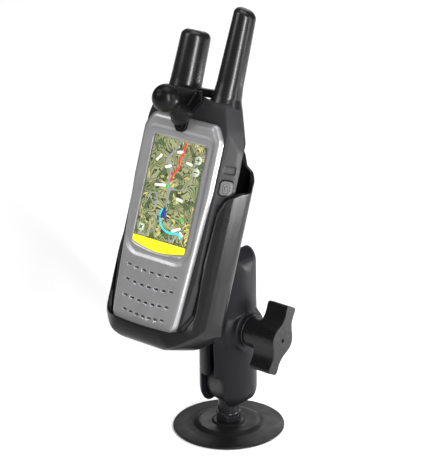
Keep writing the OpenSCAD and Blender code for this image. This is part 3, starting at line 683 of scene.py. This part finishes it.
def box_at(x, z, w, h, r, turn=0):
    spin = Matrix.Rotation(math.radians(turn), 2)
    corners = even(rounded([(-w / 2, -h / 2, r), (w / 2, -h / 2, r), (w / 2, h / 2, r),
                            (-w / 2, h / 2, r)], 5), 0.3)
    return [Vector((x, z)) + spin @ p for p in corners]


def build_signs():
    sign("route_red", "red", track([(3.6, 68), (3.2, 62), (1.2, 58), (2.6, 54), (-1.5, 50),
                                    (-1.2, 46)], 1.2))
    sign("route_cyan", "cyan", track([(-3.2, 31), (-4.4, 25.5), (-1, 20.5), (5, 18.8),
                                      (10.5, 20.5), (13, 17.8)], 1.1))
    sign("arrow", "navy", [(-1.6, 33.2), (1.4, 24.6), (-1.8, 26.4), (-5, 24.8)])
    for k, (x, z) in enumerate(((-3.2, 43), (10.8, 27.4))):
        sign(f"marker_{k}", "green", box_at(x, z, 2.0, 2.4, 0.6))
    labels = ((0.8, 62.4, 4.5, 12), (-5.2, 53.5, 4.6, 20), (8.3, 57.5, 4.6, -8),
              (-8, 42.8, 8, 8), (6.6, 37.6, 5, -6), (-12.6, 57, 5, 50),
              (8.8, 21.8, 6.5, 24), (12.6, 20.2, 3.4, -40))
    for k, (x, z, w, turn) in enumerate(labels):
        sign(f"label_{k}", "white", box_at(x, z, w, 1.5, 0.7, turn))
    zoom_x, zoom_in, zoom_out = 14, 60.5, 54
    for k, z in enumerate((zoom_in, zoom_out)):
        sign(f"zoom_{k}", "pale", box_at(zoom_x, z, 4.6, 4.6, 2.2))
        sign(f"zoom_bar_{k}", "dark", box_at(zoom_x, z, 2.8, 0.6, 0.2))
    sign("zoom_stem", "dark", box_at(zoom_x, zoom_in, 0.6, 2.8, 0.2))
    close_x, close_z = -15, 18.4
    sign("close_box", "pale", box_at(close_x, close_z, 3.8, 3.8, 0.9))
    for k, turn in enumerate((45, -45)):
        sign(f"close_bar_{k}", "dark", box_at(close_x, close_z, 3, 0.55, 0.2, turn))


def build_housing():
    shoulders = (110, lambda p: smoothstep(57, 66, p[:, 2]))
    front = sculpted(cad("front_housing", CRADLE), 0.3, 5, 0.4, softer=shoulders)
    stand_in("front_housing", front, place=CRADLE)
    rear = sculpted(cad("rear_housing", CRADLE), 0.4, 8, 0.35, softer=shoulders)
    stand_in("rear_housing", rear, place=CRADLE)
    for node, side, height, length in (("power_button", 1, 49.4, 8), ("talk_button", -1, 34, 22),
                                       ("call_button", -1, 58, 8)):
        build_key(node, side, height, length)
    stand_in("port_cap", sculpted(cad("port_cap", CRADLE), 0.18, 5, 0.4), place=CRADLE)
    stand_in("housing_gasket", cad("housing_gasket", CRADLE), place=CRADLE, flat_angle=30)


FLANK_X, KEY_Y, FLANK_TURN = 29.45, -55.7, -12


def build_key(node, side, height, length):
    """Soft pad with a raised oval ring, on one of the handset's flanks."""
    deep, proud = 8.6, 0.7
    pad = even(rounded([(sy * deep / 2, sz * length / 2, 2.2)
                        for sy, sz in ((-1, -1), (1, -1), (1, 1), (-1, 1))]), 0.35)
    parts = [slab(pad, -2.3, proud, 0.55, sideways)]
    if length < deep:
        parts += [ring((proud, 0, 0), size, 0.24, "X", 1.1) for size in (1.2, 2.6)]
    mesh = merged(parts)
    mesh.transform(Matrix.Translation((FLANK_X, KEY_Y, height))
                   @ Matrix.Rotation(math.radians(FLANK_TURN), 4, "Z"))
    if side < 0:
        mesh.transform(Matrix.Scale(-1, 4, (1, 0, 0)))
    stand_in(node, mesh, place=CRADLE, flat_angle=50)


ANTENNA_X, ANTENNA_Y = 14.75, -51.6


def build_antennas():
    short = revolve(soft_profile([(0, 93, 0), (10, 93, 0), (9.1, 94.6, 3), (8.7, 100, 20),
                                  (8.1, 127, 4), (0, 127, 0)]), 96)
    short.transform(Matrix.Translation((-ANTENNA_X, ANTENNA_Y, 0)))
    stand_in("gps_antenna_cover", short, place=CRADLE, flat_angle=60)
    top, tip, slant = 144.8, 6.1, 0.42
    tall = revolve(soft_profile([(0, 91, 0), (9.4, 91, 0), (7.9, 95.4, 6), (7.2, 103, 20),
                                 (tip, top, 4.3), (0, top, 0)]), 96)

    def slope(p):
        p[:, 2] -= slant * (p[:, 0] + tip) * 0.5 * smoothstep(130, top, p[:, 2])
        return p

    bend(tall, slope)
    tall.transform(Matrix.Translation((ANTENNA_X, ANTENNA_Y, 0)))
    stand_in("radio_antenna_sheath", tall, place=CRADLE, flat_angle=60)


def build_inside():
    for node in ("housing_screws", "board_screws", "speaker", "microphone", "battery_contacts",
                 "data_port", "main_board", "battery_pack", "gps_antenna_element",
                 "radio_antenna_rod", "button_switches"):
        stand_in(node, softened(node, 0.12, CRADLE), place=CRADLE, flat_angle=35)


# ---- surroundings ----
def build_stage():
    half = 6                                 # metres, as for the lights and the camera
    floor = slab(even(rounded([(-half, -half, 1), (half, -half, 1), (half, half, 1),
                               (-half, half, 1)]), 0.5), -0.05, 0, 0.01, upward)
    obj = bpy.data.objects.new("floor", floor)
    bpy.context.scene.collection.objects.link(obj)
    paper = bpy.data.materials.new("floor_paper")
    paper.use_nodes = True
    bsdf = paper.node_tree.nodes["Principled BSDF"]
    bsdf.inputs["Base Color"].default_value = (0.92, 0.92, 0.92, 1)
    bsdf.inputs["Roughness"].default_value = 0.9
    bsdf.inputs["Specular IOR Level"].default_value = 0.1
    floor.materials.append(paper)


def light(name, at, aim, power, wide, high):
    lamp = bpy.data.lights.new(name, "AREA")
    lamp.shape, lamp.size, lamp.size_y, lamp.energy = "RECTANGLE", wide, high, power
    obj = bpy.data.objects.new(name, lamp)
    obj.location = at
    obj.rotation_euler = (Vector(aim) - Vector(at)).to_track_quat("-Z", "Y").to_euler()
    bpy.context.scene.collection.objects.link(obj)


def build_lights():
    middle = (0, 0, 0.12)
    light("strip", (1.10, -0.62, 0.62), middle, 30, 0.08, 1.0)
    light("fill", (-0.75, -0.95, 1.1), middle, 10, 0.6, 0.8)
    light("side", (1.25, 0.35, 0.5), middle, 6, 0.3, 0.8)
    light("low", (0.25, 0.19, 0.075), (0.034, -0.03, 0.195), 1.3, 0.14, 0.04)
    light("back", (-0.9, 1.6, 0.9), (-0.9, 1.5, 0), 12, 1.2, 1.2)
    light("top", (0.0, 0.2, 1.8), middle, 15, 1.3, 1.1)
    world = bpy.data.worlds.new("studio")
    world.use_nodes = True
    world.node_tree.nodes["Background"].inputs["Color"].default_value = (1, 1, 1, 1)
    world.node_tree.nodes["Background"].inputs["Strength"].default_value = 0.14
    bpy.context.scene.world = world


CAMERA_AT = Vector((0.74072, -0.87904, 0.56552))
CAMERA_AIM = Vector((0, -0.00226, 0.1198))
CAMERA_ROLL = math.radians(-0.68)
CAMERA_LENS = 174.35


def build_camera():
    cam = bpy.data.cameras.new("camera")
    cam.lens, cam.sensor_width = CAMERA_LENS, 36
    cam.dof.use_dof = False
    obj = bpy.data.objects.new("camera", cam)
    turn = ((CAMERA_AIM - CAMERA_AT).to_track_quat("-Z", "Y").to_matrix()
            @ Matrix.Rotation(CAMERA_ROLL, 3, "Z"))
    obj.matrix_world = Matrix.Translation(CAMERA_AT) @ turn.to_4x4()
    bpy.context.scene.collection.objects.link(obj)
    bpy.context.scene.camera = obj


build_camera()
build_stage()
build_lights()
for node in frame["nodes"]:
    finish_node(node)
build_base()
build_balls()
build_arm()
build_knob()
build_cradle()
build_face()
build_signs()
build_housing()
build_antennas()
build_inside()

scene = bpy.context.scene
scene.view_settings.view_transform = "Standard"
